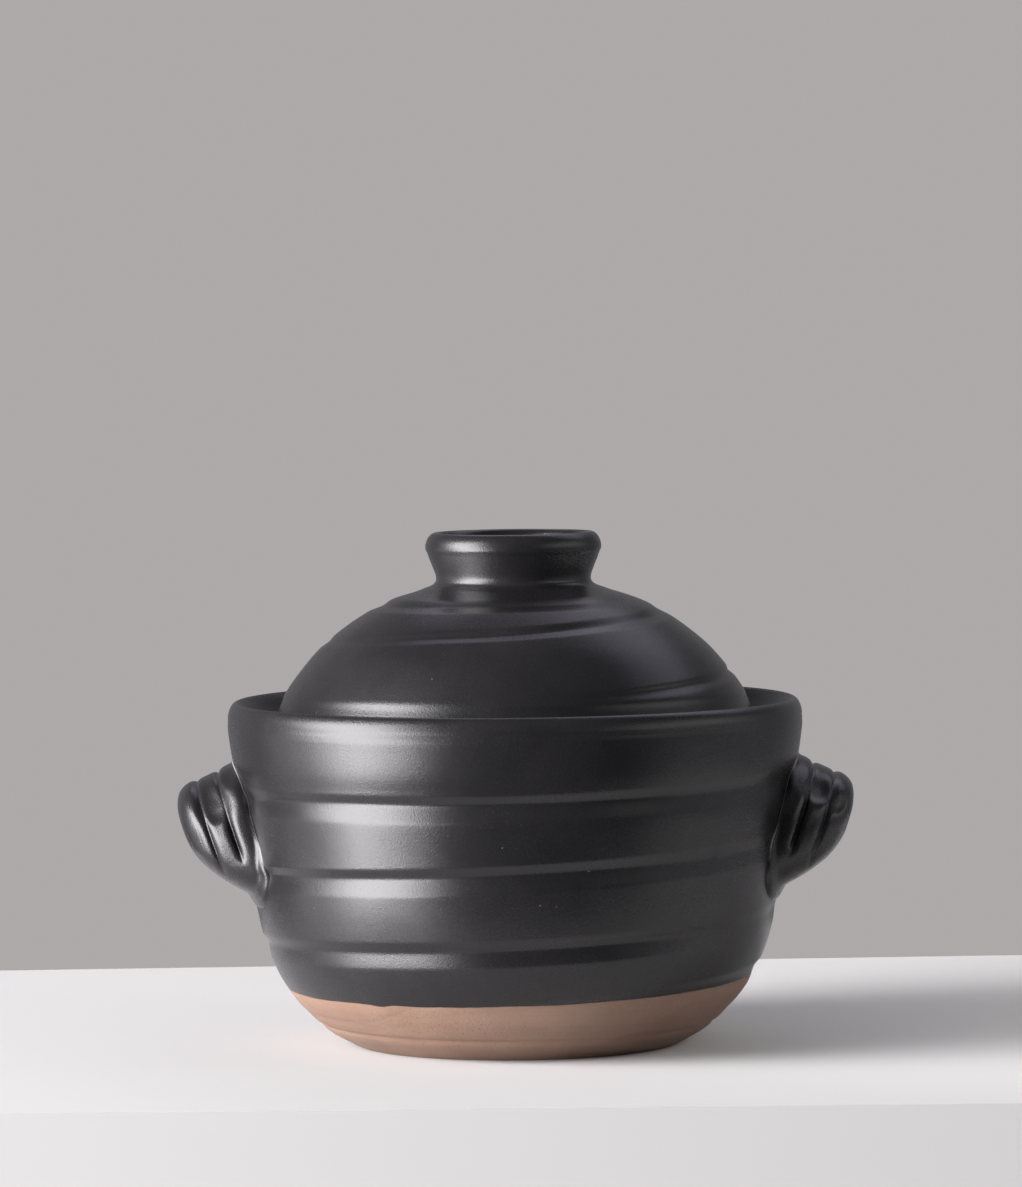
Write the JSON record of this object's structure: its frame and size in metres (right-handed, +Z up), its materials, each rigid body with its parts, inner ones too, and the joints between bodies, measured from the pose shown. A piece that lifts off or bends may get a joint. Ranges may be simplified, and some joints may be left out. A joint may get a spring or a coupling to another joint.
{
  "type": "donabe clay pot",
  "caption": "Round earthenware rice pot with side lug handles, a domed outer lid with a ring knob, and a shallow inner lid seated in a deep collar.",
  "frame": {"origin": "centre of the foot, on the surface that the pot stands on", "axes": "+Z up along the pot's axis, +X towards the right-hand handle, the pot seen from -Y"},
  "size_m": [0.2706, 0.23, 0.2042],
  "materials": {
    "black_glaze": "satin charcoal-black glaze on brown clay, bare below the glaze line and on the lid seats"
  },
  "bodies": {
    "pot": {"pot_body": "black_glaze", "handle_left": "black_glaze", "handle_right": "black_glaze"},
    "inner_lid_body": {"inner_lid": "black_glaze", "inner_lid_knob": "black_glaze"},
    "outer_lid_body": {"outer_lid": "black_glaze", "outer_lid_knob": "black_glaze"}
  },
  "joints": [
    {"name": "inner_lid_lift", "type": "slide", "parent": "pot", "child": "inner_lid_body", "axis": [0, 0, 1], "range_m": [0, 0.1]},
    {"name": "outer_lid_lift", "type": "slide", "parent": "inner_lid_body", "child": "outer_lid_body", "axis": [0, 0, 1], "range_m": [0, 0.12]}
  ]
}
